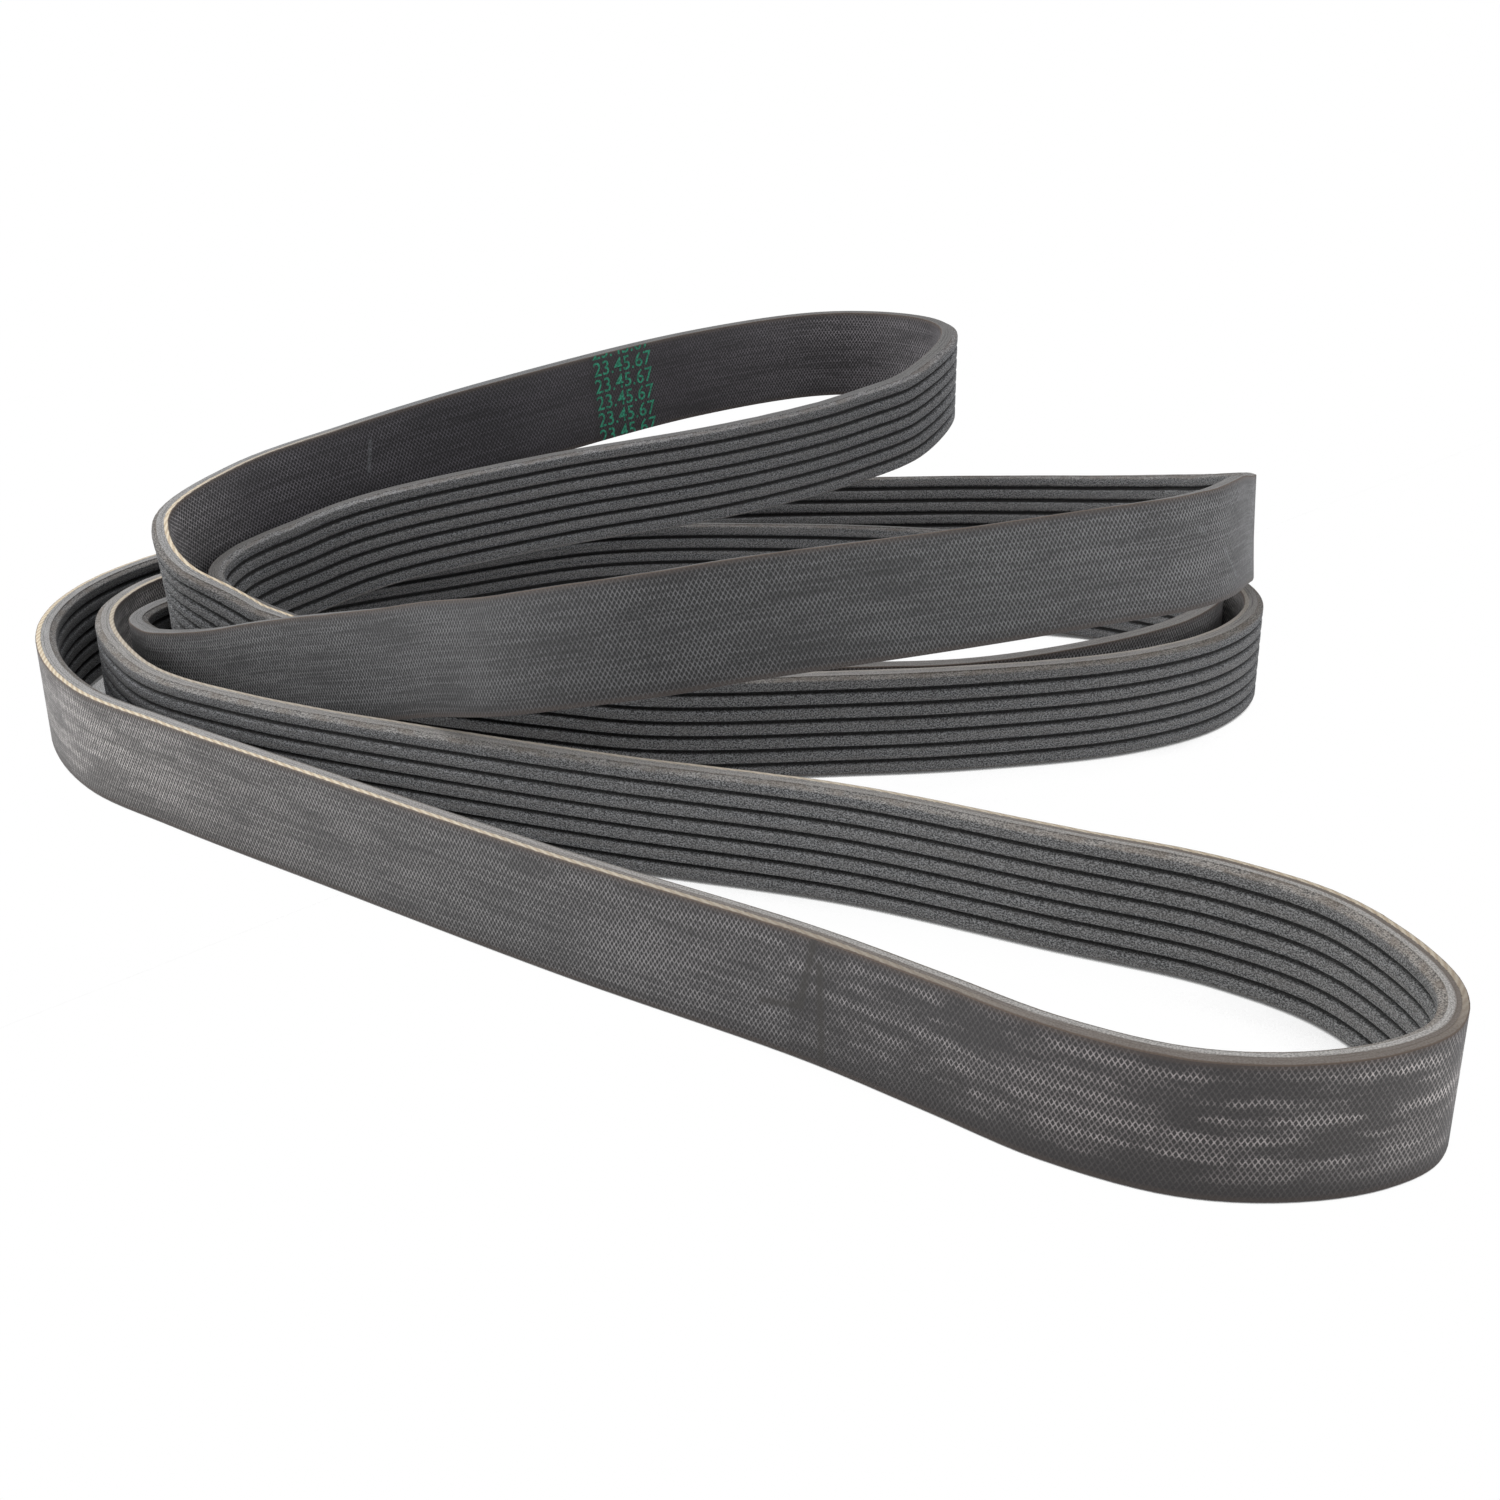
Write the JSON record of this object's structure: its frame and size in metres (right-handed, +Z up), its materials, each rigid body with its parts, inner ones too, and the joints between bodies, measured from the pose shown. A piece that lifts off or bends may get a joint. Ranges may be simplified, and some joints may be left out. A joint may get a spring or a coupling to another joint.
{
  "type": "serpentine belt",
  "caption": "Endless ribbed rubber drive belt with a woven fabric back, lying loosely folded on its edge.",
  "frame": {"origin": "on the surface the belt lies on, under the middle of the folded belt's bounding box", "axes": "+Z up, across the belt's width where it stands on edge; +Y from the long front loop towards the raised back loop; +X to the right as seen from the front"},
  "size_m": [0.3138, 0.339, 0.0781],
  "materials": {
    "rubber": "matt fibre-filled rubber ribs, woven fabric back, cut edges with pale cord lines"
  },
  "bodies": {
    "root": {"belt": "rubber"}
  },
  "joints": []
}
